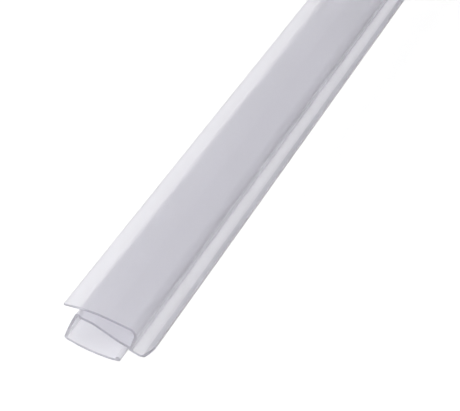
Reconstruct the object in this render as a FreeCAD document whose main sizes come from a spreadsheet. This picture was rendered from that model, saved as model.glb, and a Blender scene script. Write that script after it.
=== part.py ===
"""Shower door seal strip: one length of clear extruded PVC.

The strip lies as it rests on a level floor. Its length runs along Y, X goes across it and Z is up.
The section is an S-shaped clip with a curved fin: the glass edge slides into the slot from the left,
a skirt hangs from the nose of the inner leg, and the soft fin stands out from the closed end.
"""

import FreeCAD, Part
import math
import os

import Sketcher
from FreeCAD import Vector

# Millimetres and degrees. Places across the section are measured from its left corner. Heights are
# measured from the floor, and a rise from the height named before it.
SIZES = {
    # The whole length of stock
    "strip_length": 600.0,
    # Clip round the glass: outer leg, closed end and the stub below it
    "clip_width": 23.85,
    "clip_height": 17.35,
    "clip_wall": 0.85,
    "leg_setback": 0.9,
    "leg_closing_angle": 7.5,
    "crown_place": 10.0,
    "crown_radius": 35.0,
    "leg_back_angle": 8.0,
    "back_corner_radius": 2.6,
    "end_lean": 17.0,
    "stub_height": 6.6,
    # Inner leg: floor beside the closed end, a steeper rise, the seat under the glass, the nose
    "floor_angle": 14.0,
    "floor_rise": 1.7,
    "floor_run": 3.2,
    "rise_bend_radius": 6.0,
    "rise_angle": 23.5,
    "seat_bend_radius": 4.0,
    "seat_angle": 9.0,
    "seat_rise": 5.0,
    "hook_radius": 1.3,
    "nose_place": 5.25,
    "nose_rise": 0.7,
    "nose_radius": 0.95,
    # Skirt: side web, round corner, shallow bowl and the curled edge with its bead
    "skirt_wall": 0.85,
    "side_bow_radius": 85.0,
    "skirt_corner_radius": 1.0,
    "bowl_radius": 40.0,
    "bowl_low_place": 12.2,
    "curl_start": 14.2,
    "curl_radius": 12.0,
    "skirt_reach": 17.5,
    "bead_diameter": 1.6,
    # Soft fin on the stub, thinner towards its tip
    "fin_wall": 0.85,
    "fin_tip_wall": 0.5,
    "fin_foot": 2.0,
    "fin_bend_radius": 2.4,
    "fin_bend_turn": 67.0,
    "fin_sweep_radius": 30.0,
    "fin_reach": 6.0,
    # Rounded edges
    "leg_tip_round": 0.35,
    "fin_tip_round": 0.2,
    "inside_fillet": 0.4,
}

STRIP = "seal_strip"

# Heights that are sums of the sheet's cells
SLOT_FLOOR = "sizes.stub_height + sizes.floor_rise"
SEAT = f"{SLOT_FLOOR} + sizes.seat_rise"
NOSE_TOP = f"{SEAT} + sizes.nose_rise"

# Names for the points of a sketch's lines and arcs, and for the sketch's own origin
START, END, CENTRE = 1, 2, 3
ORIGIN = (-1, 1)

# Turns in degrees from which the tangent arcs of the nose are solved
HOOK_TURN_GUESS = -40
NOSE_TURN_GUESS = 110

# An edge is sharp above this turn, and runs along the strip above this share of its length
SMOOTH_LIMIT = math.radians(20)
FULL_LENGTH = 0.99

# How far in from the closed end its inside corners lie, in walls
CORNER_DEPTH = 4


def make_sheet(doc):
    """Spreadsheet with one named cell for each driving size."""
    sheet = doc.addObject("Spreadsheet::Sheet", "sizes")
    for row, (name, value) in enumerate(SIZES.items(), start=1):
        sheet.set(f"A{row}", name)
        sheet.set(f"B{row}", str(value))
        sheet.setAlias(f"B{row}", name)
    doc.recompute()
    return sheet


class SectionSketch:
    """Sketch of the lines that the walls follow, drawn as chains of tangent lines and arcs."""

    def __init__(self, body, name):
        self.sketch = body.newObject("Sketcher::SketchObject", name)
        plane = [item for item in body.Origin.OriginFeatures if item.Role == "XZ_Plane"][0]
        self.sketch.AttachmentSupport = (plane, "")
        self.sketch.MapMode = "FlatFace"
        self.place = Vector()
        self.heading = 0.0

    def start(self, x, z, heading):
        """Put the pen at a point, with its heading in degrees from +X."""
        self.place = Vector(x, z, 0)
        self.heading = math.radians(heading)
        self.last = None
        self.meeting = "Tangent"

    def corner(self, turn, meeting):
        """Turn the pen on the spot, so that the next line or arc meets the last one at a corner."""
        self.heading += math.radians(turn)
        self.meeting = meeting

    def line(self, length):
        """Draw ahead, tangent to what was drawn before unless the pen turned."""
        ahead = self.place + Vector(math.cos(self.heading), math.sin(self.heading), 0) * length
        edge = self.sketch.addGeometry(Part.LineSegment(self.place, ahead))
        return self.join(edge, START, END, ahead)

    def arc(self, radius, turn):
        """Draw an arc that turns left for a positive angle in degrees, right for a negative one."""
        angle = math.radians(turn)
        side = math.copysign(1, turn)
        to_centre = self.heading + side * math.pi / 2
        centre = self.place + Vector(math.cos(to_centre), math.sin(to_centre), 0) * radius
        first = to_centre + math.pi
        last = first + angle
        circle = Part.Circle(centre, Vector(0, 0, 1), radius)
        span = (first, last) if turn > 0 else (last, first)
        edge = self.sketch.addGeometry(Part.ArcOfCircle(circle, *span))
        ahead = centre + Vector(math.cos(last), math.sin(last), 0) * radius
        self.heading += angle
        ends = (START, END) if turn > 0 else (END, START)
        return self.join(edge, *ends, ahead)

    def join(self, edge, near, far, ahead):
        if self.last:
            self.constrain(self.meeting, *self.last, edge, near)
        self.last = (edge, far)
        self.meeting = "Tangent"
        self.place = ahead
        return edge

    def constrain(self, kind, *references):
        return self.sketch.addConstraint(Sketcher.Constraint(kind, *references))

    def size(self, kind, *references, to):
        """Add a dimension that follows an expression of the sheet's cells."""
        value = self.sketch.evalExpression(to)
        number = math.radians(value.Value) if kind == "Angle" else value.Value
        index = self.sketch.addConstraint(Sketcher.Constraint(kind, *references, number))
        self.sketch.setExpression(f"Constraints[{index}]", to)

    def place_x(self, edge, point, to):
        self.size("DistanceX", *ORIGIN, edge, point, to=to)

    def place_z(self, edge, point, to):
        self.size("DistanceY", *ORIGIN, edge, point, to=to)

    def radius(self, edge, name):
        self.size("Radius", edge, to=f"sizes.{name} * 1 mm")


def draw_clip(section, size):
    """Outer face of the outer leg, the closed end and the stub."""
    closing = math.radians(size["leg_closing_angle"])
    back = math.radians(size["leg_back_angle"])
    lean = math.radians(size["end_lean"])
    crown_start_x = size["crown_place"] - size["crown_radius"] * math.sin(closing)
    crown_start_z = size["clip_height"] - size["crown_radius"] * (1 - math.cos(closing))
    front_run = crown_start_x - size["leg_setback"]
    corner_start_x = size["clip_width"] - size["back_corner_radius"] * (1 - math.sin(back))

    section.start(
        size["leg_setback"], crown_start_z - front_run * math.tan(closing), size["leg_closing_angle"]
    )
    front = section.line(front_run / math.cos(closing))
    crown = section.arc(size["crown_radius"], -size["leg_closing_angle"] - size["leg_back_angle"])
    rear = section.line((corner_start_x - section.place.x) / math.cos(back))
    corner = section.arc(size["back_corner_radius"], size["leg_back_angle"] - 90 - size["end_lean"])
    end = section.line((section.place.y - size["stub_height"]) / math.cos(lean))

    section.size("Angle", front, to="sizes.leg_closing_angle * 1 deg")
    section.size("Angle", rear, to="-sizes.leg_back_angle * 1 deg")
    section.size("Angle", end, to="-(90 + sizes.end_lean) * 1 deg")
    section.radius(crown, "crown_radius")
    section.radius(corner, "back_corner_radius")
    section.place_x(crown, CENTRE, "sizes.crown_place * 1 mm")
    section.place_z(crown, CENTRE, "(sizes.clip_height - sizes.crown_radius) * 1 mm")
    section.place_x(corner, CENTRE, "(sizes.clip_width - sizes.back_corner_radius) * 1 mm")
    section.place_x(front, START, "sizes.leg_setback * 1 mm")
    section.place_z(end, END, "sizes.stub_height * 1 mm")
    return [front, crown, rear, corner, end]


def draw_leaf(section, size, end):
    """Glass face of the inner leg, then the nose and the outside of the skirt, to its edge."""
    lean = math.radians(size["end_lean"])
    root = section.sketch.getPoint(end, END)
    root_x = root.x + size["floor_rise"] * math.tan(lean) - size["clip_wall"] / 2 / math.cos(lean)
    floor_height = size["stub_height"] + size["floor_rise"]
    seat_height = floor_height + size["seat_rise"]
    section.start(root_x, floor_height, 180 - size["floor_angle"])
    floor = section.line(size["floor_run"])
    rise_bend = section.arc(size["rise_bend_radius"], size["floor_angle"] - size["rise_angle"])
    rest = seat_height - section.place.y
    slope = section.line(rest / math.sin(math.radians(size["rise_angle"])) / 2)
    seat_bend = section.arc(size["seat_bend_radius"], size["rise_angle"] - size["seat_angle"])
    seat = section.line(section.place.x - size["nose_place"] - size["hook_radius"])
    hook = section.arc(size["hook_radius"], HOOK_TURN_GUESS)
    nose = section.arc(size["nose_radius"], NOSE_TURN_GUESS)
    side_fall = seat_height + size["nose_rise"] - size["nose_radius"] - size["skirt_corner_radius"]
    side = section.arc(size["side_bow_radius"], math.degrees(side_fall / size["side_bow_radius"]))

    corner_to_low = size["bowl_low_place"] - size["skirt_corner_radius"]
    bowl_fall = math.asin(corner_to_low / (size["bowl_radius"] - size["skirt_corner_radius"]))
    bowl_rise = math.asin((size["curl_start"] - size["bowl_low_place"]) / size["bowl_radius"])
    curl_run = size["skirt_reach"] - size["curl_start"]
    curl_rise = math.asin(math.sin(bowl_rise) + curl_run / size["curl_radius"])
    corner_turn = 2 * math.pi - bowl_fall - section.heading
    corner = section.arc(size["skirt_corner_radius"], math.degrees(corner_turn))
    bowl = section.arc(size["bowl_radius"], math.degrees(bowl_fall + bowl_rise))
    curl = section.arc(size["curl_radius"], math.degrees(curl_rise - bowl_rise))

    section.size("Distance", floor, START, end, to="sizes.clip_wall / 2 * 1 mm")
    section.place_z(floor, START, f"({SLOT_FLOOR}) * 1 mm")
    section.size("Angle", floor, to="(180 - sizes.floor_angle) * 1 deg")
    section.size("Distance", floor, to="sizes.floor_run * 1 mm")
    section.radius(rise_bend, "rise_bend_radius")
    section.size("Angle", slope, to="(180 - sizes.rise_angle) * 1 deg")
    section.radius(seat_bend, "seat_bend_radius")
    section.size("Angle", seat, to="(180 - sizes.seat_angle) * 1 deg")
    section.place_z(seat, END, f"({SEAT}) * 1 mm")
    section.radius(hook, "hook_radius")
    section.radius(nose, "nose_radius")
    section.place_x(nose, CENTRE, "sizes.nose_place * 1 mm")
    section.place_z(nose, CENTRE, f"({NOSE_TOP} - sizes.nose_radius) * 1 mm")
    section.radius(side, "side_bow_radius")
    section.radius(corner, "skirt_corner_radius")
    section.place_x(corner, CENTRE, "sizes.skirt_corner_radius * 1 mm")
    section.radius(bowl, "bowl_radius")
    section.place_x(bowl, CENTRE, "sizes.bowl_low_place * 1 mm")
    section.place_z(bowl, CENTRE, "sizes.bowl_radius * 1 mm")
    section.radius(curl, "curl_radius")
    section.place_x(curl, START, "sizes.curl_start * 1 mm")
    section.place_x(curl, END, "sizes.skirt_reach * 1 mm")
    return [floor, rise_bend, slope, seat_bend, seat, hook, nose, side, corner, bowl, curl]


def draw_fin(section, size, end):
    """The fin, all round: square off the stub, round the bend, up to the tip and back along its top."""
    lean = math.radians(size["end_lean"])
    stub_end = section.sketch.getPoint(end, END)
    back = Vector(-math.cos(lean), math.sin(lean), 0) * size["clip_wall"]
    root = stub_end + back
    foot_length = size["clip_wall"] + size["fin_foot"]
    section.start(root.x, root.y, -size["end_lean"])
    foot = section.line(foot_length)
    bend = section.arc(size["fin_bend_radius"], size["fin_bend_turn"])
    bend_heading = section.heading
    sweep_run = size["clip_width"] + size["fin_reach"] - section.place.x
    tip_heading = math.asin(math.sin(section.heading) + sweep_run / size["fin_sweep_radius"])
    sweep = section.arc(size["fin_sweep_radius"], math.degrees(tip_heading - section.heading))
    section.corner(90, "Perpendicular")
    tip = section.line(size["fin_tip_wall"])

    # The top of the sweep is the arc that leaves the bend's top smoothly and ends on the tip
    top_bend_radius = size["fin_bend_radius"] - size["fin_wall"]
    inward = Vector(-math.sin(bend_heading), math.cos(bend_heading), 0)
    top_bend_end = section.sketch.getPoint(bend, CENTRE) - inward * top_bend_radius
    chord = section.place - top_bend_end
    top_turn = 2 * (math.atan2(chord.y, chord.x) - bend_heading)
    top_heading = bend_heading + top_turn + math.pi
    section.corner(math.degrees(top_heading - section.heading), "Coincident")
    top_sweep = section.arc(chord.Length / math.sin(top_turn / 2) / 2, math.degrees(-top_turn))
    top_bend = section.arc(top_bend_radius, -size["fin_bend_turn"])
    top_foot = section.line(foot_length)
    section.corner(90, "Perpendicular")
    butt = section.line(size["fin_wall"])

    section.constrain("Perpendicular", end, foot)
    section.constrain("PointOnObject", end, END, foot)
    section.size("Distance", foot, START, end, END, to="sizes.clip_wall * 1 mm")
    section.size("Distance", foot, to="(sizes.clip_wall + sizes.fin_foot) * 1 mm")
    section.radius(bend, "fin_bend_radius")
    section.size("Angle", bend, to="sizes.fin_bend_turn * 1 deg")
    section.radius(sweep, "fin_sweep_radius")
    section.place_x(sweep, END, "(sizes.clip_width + sizes.fin_reach) * 1 mm")
    section.size("Distance", tip, to="sizes.fin_tip_wall * 1 mm")
    section.size("Distance", butt, to="sizes.fin_wall * 1 mm")
    section.constrain("Coincident", butt, END, foot, START)
    section.constrain("Perpendicular", butt, foot)
    section.constrain("Coincident", top_bend, CENTRE, bend, CENTRE)
    section.size("Angle", top_bend, to="sizes.fin_bend_turn * 1 deg")
    return [foot, bend, sweep, tip, top_sweep, top_bend, top_foot, butt]


def draw_bead(section, size, curl):
    """Round bead on the skirt's edge, its underside flush with the skirt's."""
    edge = section.sketch.getPoint(curl, END)
    curl_centre = section.sketch.getPoint(curl, CENTRE)
    inward = (curl_centre - edge).normalize()
    centre = edge + inward * (size["bead_diameter"] / 2)
    circle = Part.Circle(centre, Vector(0, 0, 1), size["bead_diameter"] / 2)
    bead = section.sketch.addGeometry(circle)
    spoke = section.sketch.addGeometry(Part.LineSegment(edge, curl_centre), True)
    section.constrain("Coincident", spoke, START, curl, END)
    section.constrain("Coincident", spoke, END, curl, CENTRE)
    section.constrain("PointOnObject", bead, CENTRE, spoke)
    section.constrain("PointOnObject", curl, END, bead)
    section.size("Diameter", bead, to="sizes.bead_diameter * 1 mm")
    return [bead]


def extrude(body, name, section, edges, wall=None):
    """Pad along the strip: a wall of the named thickness on the left of its line, or a closed line."""
    binder = body.newObject("PartDesign::SubShapeBinder", f"{name}_section")
    names = tuple(f"Edge{edge + 1}" for edge in edges)
    binder.Support = [(section.sketch, names)]
    binder.MakeFace = True
    if wall:
        binder.OffsetFill = True
        binder.OffsetOpenResult = True
        binder.setExpression("Offset", wall)
    pad = body.newObject("PartDesign::Pad", name)
    pad.Profile = binder
    pad.SideType = "Symmetric"
    pad.setExpression("Length", "sizes.strip_length * 1 mm")
    body.Document.recompute()
    return pad


def sharp_long_edges(shape, across, height):
    """Names of the sharp edges along the strip, within a window across it and in height."""
    names = []
    for number, edge in enumerate(shape.Edges, start=1):
        spot = edge.CenterOfMass
        runs_along = edge.BoundBox.YLength > FULL_LENGTH * shape.BoundBox.YLength
        inside = across[0] < spot.x < across[1] and height[0] < spot.z < height[1]
        if not (runs_along and inside):
            continue
        faces = shape.ancestorsOfType(edge, Part.Face)
        normals = [face.normalAt(*face.Surface.parameter(spot)) for face in faces]
        if normals[0].getAngle(normals[1]) > SMOOTH_LIMIT:
            names.append(f"Edge{number}")
    return names


def fillet(body, name, base, edges, radius):
    """Round the named edges of the last feature."""
    feature = body.newObject("PartDesign::Fillet", name)
    feature.Base = (base, edges)
    feature.setExpression("Radius", radius)
    body.Document.recompute()
    return feature


def round_edges(body, size, walls):
    """Round the free edges and fill the corners where the inner leg and the fin meet the end."""
    wall = size["clip_wall"]
    width = size["clip_width"]
    leg_tip = sharp_long_edges(
        walls.Shape,
        across=(0, size["leg_setback"] + wall),
        height=(size["clip_height"] / 2, size["clip_height"]),
    )
    tip = fillet(body, "leg_tip_edges", walls, leg_tip, "sizes.leg_tip_round * 1 mm")
    fin_tip = sharp_long_edges(
        tip.Shape,
        across=(width + size["fin_reach"] / 2, width + size["fin_reach"] + size["fin_wall"]),
        height=(size["stub_height"], size["clip_height"]),
    )
    fin = fillet(body, "fin_tip_edges", tip, fin_tip, "sizes.fin_tip_round * 1 mm")
    corners = sharp_long_edges(
        fin.Shape,
        across=(width - CORNER_DEPTH * wall, width),
        height=(size["stub_height"] + wall / 2, size["stub_height"] + size["floor_rise"] + wall),
    )
    return fillet(body, "inside_corners", fin, corners, "sizes.inside_fillet * 1 mm")


def make_strip(doc, size):
    """The whole strip in one body."""
    body = doc.addObject("PartDesign::Body", STRIP)
    body.Label = STRIP
    section = SectionSketch(body, "section_lines")
    clip = draw_clip(section, size)
    doc.recompute()
    leaf = draw_leaf(section, size, clip[-1])
    fin = draw_fin(section, size, clip[-1])
    bead = draw_bead(section, size, leaf[-1])
    doc.recompute()

    extrude(body, "clip", section, clip, "-sizes.clip_wall * 1 mm")
    extrude(body, "inner_leg_and_skirt", section, leaf, "sizes.skirt_wall * 1 mm")
    extrude(body, "bead", section, bead)
    walls = extrude(body, "fin", section, fin)
    last = round_edges(body, size, walls)
    body.Tip = last

    body.setExpression("Placement.Base.x", "-(sizes.clip_width + sizes.fin_reach) / 2 * 1 mm")
    doc.recompute()
    return body


def check(doc):
    """Stop if an object has failed or the strip isn't one valid solid."""
    for item in doc.Objects:
        if "Invalid" in item.State or "Error" in item.State:
            raise RuntimeError(f"{item.Name} failed: {item.State}")
    for item in doc.findObjects("PartDesign::Body"):
        shape = item.Shape
        if shape.isNull() or not shape.isValid() or len(shape.Solids) != 1:
            raise RuntimeError(f"{item.Label} isn't one valid solid")


def main():
    doc = FreeCAD.newDocument("shower_door_seal_strip")
    make_sheet(doc)
    body = make_strip(doc, SIZES)
    check(doc)
    os.makedirs("parts", exist_ok=True)
    body.Shape.exportStep(f"parts/{body.Label}.step")
    box = body.Shape.BoundBox
    print(f"{body.Label}: {box.XLength:.2f} x {box.YLength:.2f} x {box.ZLength:.2f} mm")
    print(f"section {body.Shape.Volume / box.YLength:.2f} mm2, floor at {box.ZMin:.3f} mm")


main()
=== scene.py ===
# %% [markdown]
# # A clear shower door seal strip
#
# The real object is one length of clear, faintly blue PVC that is pressed through a die, so every form
# in it runs from one end to the other. This lesson dresses the finished solid: first the camera, then
# the light and the floor, and last the plastic itself, whose look comes from how far light travels in it.

# %% Load the finished solid
import math

import bpy
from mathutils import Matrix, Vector


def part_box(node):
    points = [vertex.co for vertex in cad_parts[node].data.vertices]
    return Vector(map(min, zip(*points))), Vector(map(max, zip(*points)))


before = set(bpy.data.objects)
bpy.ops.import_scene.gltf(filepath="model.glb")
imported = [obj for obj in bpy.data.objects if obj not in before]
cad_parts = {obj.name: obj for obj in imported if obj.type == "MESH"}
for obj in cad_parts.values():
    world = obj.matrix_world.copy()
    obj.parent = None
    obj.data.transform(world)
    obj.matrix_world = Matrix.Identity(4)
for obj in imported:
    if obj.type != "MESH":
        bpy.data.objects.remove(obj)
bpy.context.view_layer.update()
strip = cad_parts["seal_strip"]
strip_low, strip_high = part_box("seal_strip")
print("strip in mm:", [round(side * 1000, 1) for side in strip_high - strip_low])

# %% [markdown]
# ## Camera
#
# The strip is seen from above and from its near end, a little from the right, through a long lens, so its
# long lines hardly run together. A camera can be turned by hand, but it is easier to correct one that is
# placed by an aim point, two angles and a distance, as it is here.

# %% Camera
AIM = Vector((0.0014, -0.2267, 0.0))
AZIMUTH = math.radians(26.06)
ELEVATION = math.radians(41.66)
DISTANCE = 0.4508
LENS_MM = 112.0
SENSOR_MM = 36.0
NEAREST_SHOWN = 0.01

towards_camera = Vector((
    math.sin(AZIMUTH) * math.cos(ELEVATION),
    -math.cos(AZIMUTH) * math.cos(ELEVATION),
    math.sin(ELEVATION),
))
bpy.ops.object.camera_add(
    location=AIM + towards_camera * DISTANCE,
    rotation=(math.pi / 2 - ELEVATION, 0, AZIMUTH),
)
camera = bpy.context.object
camera.data.lens = LENS_MM
camera.data.sensor_width = SENSOR_MM
camera.data.clip_start = NEAREST_SHOWN
bpy.context.scene.camera = camera
bpy.context.scene.view_settings.view_transform = "Standard"
print("camera at", [round(value, 4) for value in camera.location])

# %% [markdown]
# ## White surroundings
#
# Clear plastic has hardly a colour of its own: it shows what stands round it. In white surroundings it
# needs a white world to look through and to mirror. The light that falls on things is set apart from
# that, with Light Path, so the room can be white and still leave most of the lighting to one lamp.

# %% World
WHITE = (1, 1, 1, 1)
LIGHT_LEVEL = 0.18

world = bpy.data.worlds.new("white_room")
bpy.context.scene.world = world
world.use_nodes = True
room = world.node_tree
background = room.nodes["Background"]
background.inputs["Color"].default_value = WHITE


def seen_directly(tree):
    """1 for rays that show a thing, straight, mirrored or through glass; 0 for rays that only light."""
    path = tree.nodes.new("ShaderNodeLightPath")
    mirrored = tree.nodes.new("ShaderNodeMath")
    mirrored.operation = "MAXIMUM"
    tree.links.new(path.outputs["Is Camera Ray"], mirrored.inputs[0])
    tree.links.new(path.outputs["Is Glossy Ray"], mirrored.inputs[1])
    through = tree.nodes.new("ShaderNodeMath")
    through.operation = "MAXIMUM"
    tree.links.new(mirrored.outputs[0], through.inputs[0])
    tree.links.new(path.outputs["Is Transmission Ray"], through.inputs[1])
    return through.outputs[0]


strength = room.nodes.new("ShaderNodeMapRange")
strength.inputs["To Min"].default_value = LIGHT_LEVEL
strength.inputs["To Max"].default_value = 1.0
room.links.new(seen_directly(room), strength.inputs["Value"])
room.links.new(strength.outputs["Result"], background.inputs["Strength"])
print("white room, lights with a strength of", LIGHT_LEVEL)

# %% [markdown]
# ## Floor
#
# The floor is plain white. Most of its white is a glow of its own, shown only to the rays that see it, so
# the strip's shadow stays as faint as it is in a bright studio, and the floor throws little light back up.

# %% Floor
FLOOR_SIDE = 8.0
FLOOR_WHITE = 0.35
FLOOR_LIFT = 0.88

bpy.ops.mesh.primitive_plane_add(size=FLOOR_SIDE, location=(0, 0, 0))
floor = bpy.context.object
floor.name = "floor"
paper = bpy.data.materials.new("floor_white")
paper.use_nodes = True
paper_tree = paper.node_tree
paper_shader = paper_tree.nodes["Principled BSDF"]
paper_shader.inputs["Base Color"].default_value = (FLOOR_WHITE, FLOOR_WHITE, FLOOR_WHITE, 1)
paper_shader.inputs["Roughness"].default_value = 1.0
paper_shader.inputs["Specular IOR Level"].default_value = 0.0
paper_shader.inputs["Emission Color"].default_value = WHITE
lift = paper_tree.nodes.new("ShaderNodeMath")
lift.operation = "MULTIPLY"
lift.inputs[1].default_value = FLOOR_LIFT
paper_tree.links.new(seen_directly(paper_tree), lift.inputs[0])
paper_tree.links.new(lift.outputs[0], paper_shader.inputs["Emission Strength"])
floor.data.materials.append(paper)
print("floor in m:", [round(side, 2) for side in floor.dimensions])

# %% [markdown]
# ## Lamps
#
# A soft square lamp stands to the left of the strip. It is close enough to fade along it, so the far end
# is darker than the near one, and the left side of each wall lighter than the right. A weaker one on the
# right keeps the closed end and the fin, which face away from the first, from turning dark.

# %% Lamps
MAIN_PLACE = Vector((-0.58, -0.45, 0.4))
MAIN_WATTS = 3.4
FILL_PLACE = Vector((0.38, -0.48, 0.3))
FILL_WATTS = 0.5
LAMP_SIZE = 0.6


def soft_lamp(name, place, watts):
    """Square lamp that looks at the camera's aim point."""
    bpy.ops.object.light_add(type="AREA", location=place)
    lamp = bpy.context.object
    lamp.name = name
    lamp.data.energy = watts
    lamp.data.size = LAMP_SIZE
    lamp.rotation_euler = (AIM - place).to_track_quat("-Z", "Y").to_euler()
    print(name, "stands", round((AIM - place).length, 2), "m from the aim point, with", watts, "W")


soft_lamp("main_lamp", MAIN_PLACE, MAIN_WATTS)
soft_lamp("fill_lamp", FILL_PLACE, FILL_WATTS)

# %% [markdown]
# ## Where the finish changes
#
# The strip is one solid with one material, but its soft fin is a shade glossier and less blue than the
# hard clip, and its sawn ends are duller than the skin that the die left. They are also darker, which is
# painted shade: it stands in for the shade seen when looking into a wall end on. Masks tell them apart.
# Each measures the place on the strip itself, in metres, so it stays put from every side.

# %% Masks
END_LEAN = math.radians(17)
FIN_FACING = (math.cos(END_LEAN), 0.0, -math.sin(END_LEAN))
FIN_START = 0.0048
FIN_BLEND = 0.0006
CUT_DEPTH = 0.0002


def smooth_step(tree, value, low, high):
    """0 below low, 1 above high and a smooth change between."""
    ramp = tree.nodes.new("ShaderNodeMapRange")
    ramp.interpolation_type = "SMOOTHSTEP"
    ramp.inputs["From Min"].default_value = low
    ramp.inputs["From Max"].default_value = high
    tree.links.new(value, ramp.inputs["Value"])
    return ramp.outputs["Result"]


def fin_mask(tree, place):
    """1 beyond the outer face of the clip's closed end, where only the fin is."""
    beyond = tree.nodes.new("ShaderNodeVectorMath")
    beyond.operation = "DOT_PRODUCT"
    beyond.inputs[1].default_value = FIN_FACING
    tree.links.new(place, beyond.inputs[0])
    return smooth_step(tree, beyond.outputs["Value"], FIN_START, FIN_START + FIN_BLEND)


def cut_mask(tree, place):
    """1 on the two sawn ends."""
    split = tree.nodes.new("ShaderNodeSeparateXYZ")
    along = tree.nodes.new("ShaderNodeMath")
    along.operation = "ABSOLUTE"
    tree.links.new(place, split.inputs["Vector"])
    tree.links.new(split.outputs["Y"], along.inputs[0])
    return smooth_step(tree, along.outputs[0], strip_high.y - CUT_DEPTH, strip_high.y)


print("sawn ends at", round(strip_low.y * 1000), "and", round(strip_high.y * 1000), "mm along the strip")

# %% [markdown]
# ## Die lines
#
# The die leaves fine lines in the skin, all the way along. A noise that is stretched a thousandfold along
# the strip and fine across it makes them. It is so weak that it only breaks up the mirror of the walls.

# %% Die lines
LINES_PER_METRE = 900.0
LINES_ALONG = 0.8
LINE_DEPTH = 0.00002
LINE_STRENGTH = 0.25
LINE_DETAIL = 2.0


def die_lines(tree, place):
    """Normal of a skin with fine lines along Y."""
    stretch = tree.nodes.new("ShaderNodeMapping")
    stretch.inputs["Scale"].default_value = (LINES_PER_METRE, LINES_ALONG, LINES_PER_METRE)
    noise = tree.nodes.new("ShaderNodeTexNoise")
    noise.inputs["Scale"].default_value = 1.0
    noise.inputs["Detail"].default_value = LINE_DETAIL
    bump = tree.nodes.new("ShaderNodeBump")
    bump.inputs["Strength"].default_value = LINE_STRENGTH
    bump.inputs["Distance"].default_value = LINE_DEPTH
    tree.links.new(place, stretch.inputs["Vector"])
    tree.links.new(stretch.outputs["Vector"], noise.inputs["Vector"])
    tree.links.new(noise.outputs["Fac"], bump.inputs["Height"])
    return bump.outputs["Normal"]


print("die lines about", round(1000 / LINES_PER_METRE, 1), "mm apart")

# %% [markdown]
# ## Clear PVC
#
# The plastic isn't as clear as glass. Each wall lets about two thirds of the light through and scatters
# some of it, so one wall over white is pale, and a second and a third wall add less and less. Part
# transmission and part diffuse colour do that. The index is lower than real PVC's 1.53, which made the
# seams and sawn ends far too dark here. A likely reason is that real walls have a faint haze that frees the
# light inside them, and this shader has none. A clear coat gives back some of the mirror that the low
# index takes away.

# %% Plastic
PVC_IOR = 1.2
CLEAR_SHARE = 0.66
WALL_ROUGHNESS = 0.4
FIN_ROUGHNESS = 0.35
CUT_ROUGHNESS = 0.6
WALL_COLOR = (0.97, 0.965, 1.0, 1)
FIN_COLOR = (0.975, 0.97, 1.0, 1)
# The sawn ends' darker colour is painted shade: it stands in for the shade seen looking into a wall end on.
CUT_PAINTED_SHADE = (0.69, 0.675, 0.735, 1)
SKIN_COAT = 0.5
COAT_ROUGHNESS = 0.2
ABSORB_PER_METRE = 2.0
ABSORB_COLOR = (0.30, 0.27, 0.52, 1)


def blend_color(tree, mask, first, second):
    """Mix of two colours, each a colour or another node's output."""
    mix = tree.nodes.new("ShaderNodeMix")
    mix.data_type = "RGBA"
    tree.links.new(mask, mix.inputs["Factor"])
    for socket, color in (("A", first), ("B", second)):
        if isinstance(color, tuple):
            mix.inputs[socket].default_value = color
        else:
            tree.links.new(color, mix.inputs[socket])
    return mix.outputs["Result"]


def blend_value(tree, mask, first, second):
    """Mix of two numbers, each a number or another node's output."""
    mix = tree.nodes.new("ShaderNodeMapRange")
    tree.links.new(mask, mix.inputs["Value"])
    for socket, value in (("To Min", first), ("To Max", second)):
        if isinstance(value, float):
            mix.inputs[socket].default_value = value
        else:
            tree.links.new(value, mix.inputs[socket])
    return mix.outputs["Result"]


def clear_pvc():
    """The strip's one material, for its clip, its fin and its sawn ends."""
    material = bpy.data.materials.new("clear_pvc_seal")
    material.use_nodes = True
    tree = material.node_tree
    shader = tree.nodes["Principled BSDF"]
    shader.inputs["Transmission Weight"].default_value = CLEAR_SHARE
    shader.inputs["IOR"].default_value = PVC_IOR
    shader.inputs["Coat Weight"].default_value = SKIN_COAT
    shader.inputs["Coat Roughness"].default_value = COAT_ROUGHNESS
    place = tree.nodes.new("ShaderNodeTexCoord").outputs["Object"]
    fin = fin_mask(tree, place)
    cut = cut_mask(tree, place)

    skin_color = blend_color(tree, fin, WALL_COLOR, FIN_COLOR)
    # Painted shade: the sawn ends get a darker colour here; their dullness below is a real finish.
    color = blend_color(tree, cut, skin_color, CUT_PAINTED_SHADE)
    skin_roughness = blend_value(tree, fin, WALL_ROUGHNESS, FIN_ROUGHNESS)
    roughness = blend_value(tree, cut, skin_roughness, CUT_ROUGHNESS)
    tree.links.new(color, shader.inputs["Base Color"])
    tree.links.new(roughness, shader.inputs["Roughness"])
    tree.links.new(die_lines(tree, place), shader.inputs["Normal"])

    absorb = tree.nodes.new("ShaderNodeVolumeAbsorption")
    absorb.inputs["Color"].default_value = ABSORB_COLOR
    absorb.inputs["Density"].default_value = ABSORB_PER_METRE
    tree.links.new(absorb.outputs["Volume"], tree.nodes["Material Output"].inputs["Volume"])
    return material


strip.data.materials[0] = clear_pvc()
print("the strip wears", strip.data.materials[0].name, "on", len(strip.data.polygons), "faces")
